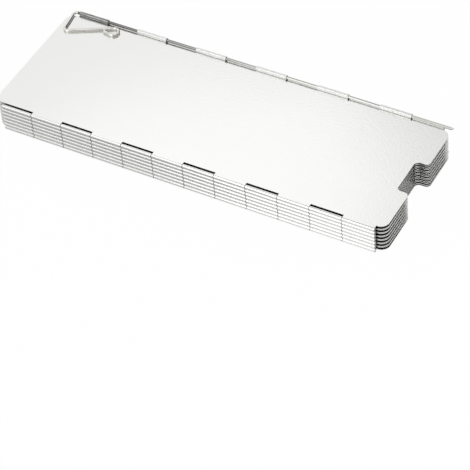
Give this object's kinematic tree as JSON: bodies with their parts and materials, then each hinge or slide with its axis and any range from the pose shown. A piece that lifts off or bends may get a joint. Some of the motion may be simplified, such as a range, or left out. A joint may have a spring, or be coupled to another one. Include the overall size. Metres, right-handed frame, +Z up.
{
  "type": "stove windscreen",
  "caption": "Folding windscreen for a camp stove: thin aluminium plates hinged edge to edge, lying folded as a stack, with a pull-out wire ground stake in each free edge.",
  "frame": {"origin": "middle of the underside of the folded stack's box", "axes": "+Z up through the stack, +X along the hinges towards the notched foot end, +Y towards the side with the two free edges and their stakes"},
  "size_m": [0.2418, 0.087, 0.0206],
  "materials": {
    "plate_aluminium": "satin, finely grained along the hinges",
    "pin_steel": "drawn wire",
    "stake_steel": "polished drawn wire"
  },
  "bodies": {
    "plate_1": {"plate_1": "plate_aluminium"},
    "plate_2": {"plate_2": "plate_aluminium", "hinge_pin_1": "pin_steel"},
    "plate_3": {"plate_3": "plate_aluminium", "hinge_pin_2": "pin_steel"},
    "plate_4": {"plate_4": "plate_aluminium", "hinge_pin_3": "pin_steel"},
    "plate_5": {"plate_5": "plate_aluminium", "hinge_pin_4": "pin_steel"},
    "plate_6": {"plate_6": "plate_aluminium", "hinge_pin_5": "pin_steel"},
    "plate_7": {"plate_7": "plate_aluminium", "hinge_pin_6": "pin_steel"},
    "plate_8": {"plate_8": "plate_aluminium", "hinge_pin_7": "pin_steel"},
    "plate_9": {"plate_9": "plate_aluminium", "hinge_pin_8": "pin_steel"},
    "plate_10": {"plate_10": "plate_aluminium", "hinge_pin_9": "pin_steel"},
    "plate_11": {"plate_11": "plate_aluminium", "hinge_pin_10": "pin_steel"},
    "plate_12": {"plate_12": "plate_aluminium", "hinge_pin_11": "pin_steel"},
    "plate_13": {"plate_13": "plate_aluminium", "hinge_pin_12": "pin_steel"},
    "plate_14": {"plate_14": "plate_aluminium", "hinge_pin_13": "pin_steel"},
    "top_stake": {"top_stake_rod": "stake_steel"},
    "top_handle": {"top_stake_handle": "stake_steel"},
    "bottom_stake": {"bottom_stake_rod": "stake_steel"},
    "bottom_handle": {"bottom_stake_handle": "stake_steel"}
  },
  "joints": [
    {"name": "hinge_1", "type": "hinge", "parent": "plate_2", "child": "plate_1", "pos_m": [0.00028, -0.04231, 0.01798], "axis": [1, 0, 0], "range_deg": [0, 180]},
    {"name": "hinge_2", "type": "hinge", "parent": "plate_3", "child": "plate_2", "pos_m": [0.00028, 0.04221, 0.0167], "axis": [-1, 0, 0], "range_deg": [0, 120]},
    {"name": "hinge_3", "type": "hinge", "parent": "plate_4", "child": "plate_3", "pos_m": [0.00028, -0.04231, 0.01542], "axis": [1, 0, 0], "range_deg": [0, 120]},
    {"name": "hinge_4", "type": "hinge", "parent": "plate_5", "child": "plate_4", "pos_m": [0.00028, 0.04221, 0.01415], "axis": [-1, 0, 0], "range_deg": [0, 120]},
    {"name": "hinge_5", "type": "hinge", "parent": "plate_6", "child": "plate_5", "pos_m": [0.00028, -0.04231, 0.01287], "axis": [1, 0, 0], "range_deg": [0, 120]},
    {"name": "hinge_6", "type": "hinge", "parent": "plate_7", "child": "plate_6", "pos_m": [0.00028, 0.04221, 0.0116], "axis": [-1, 0, 0], "range_deg": [0, 120]},
    {"name": "hinge_7", "type": "hinge", "parent": "plate_8", "child": "plate_7", "pos_m": [0.00028, -0.04231, 0.01033], "axis": [1, 0, 0], "range_deg": [0, 120]},
    {"name": "hinge_8", "type": "hinge", "parent": "plate_9", "child": "plate_8", "pos_m": [0.00028, 0.04221, 0.00905], "axis": [-1, 0, 0], "range_deg": [0, 120]},
    {"name": "hinge_9", "type": "hinge", "parent": "plate_10", "child": "plate_9", "pos_m": [0.00028, -0.04231, 0.00777], "axis": [1, 0, 0], "range_deg": [0, 120]},
    {"name": "hinge_10", "type": "hinge", "parent": "plate_11", "child": "plate_10", "pos_m": [0.00028, 0.04221, 0.0065], "axis": [-1, 0, 0], "range_deg": [0, 120]},
    {"name": "hinge_11", "type": "hinge", "parent": "plate_12", "child": "plate_11", "pos_m": [0.00028, -0.04231, 0.00522], "axis": [1, 0, 0], "range_deg": [0, 120]},
    {"name": "hinge_12", "type": "hinge", "parent": "plate_13", "child": "plate_12", "pos_m": [0.00028, 0.04221, 0.00395], "axis": [-1, 0, 0], "range_deg": [0, 120]},
    {"name": "hinge_13", "type": "hinge", "parent": "plate_14", "child": "plate_13", "pos_m": [0.00028, -0.04231, 0.00267], "axis": [1, 0, 0], "range_deg": [0, 180]},
    {"name": "top_stake_slide", "type": "slide", "parent": "plate_1", "child": "top_stake", "axis": [-1, 0, 0], "range_m": [0, 0.25]},
    {"name": "top_handle_swing", "type": "hinge", "parent": "top_stake", "child": "top_handle", "pos_m": [0.00028, 0.04221, 0.01935], "axis": [-1, 0, 0], "range_deg": [0, 180]},
    {"name": "bottom_stake_slide", "type": "slide", "parent": "plate_14", "child": "bottom_stake", "axis": [-1, 0, 0], "range_m": [-0.003, 0.247]},
    {"name": "bottom_handle_swing", "type": "hinge", "parent": "bottom_stake", "child": "bottom_handle", "pos_m": [0.00028, 0.04221, 0.0013], "axis": [1, 0, 0], "range_deg": [0, 180]}
  ]
}
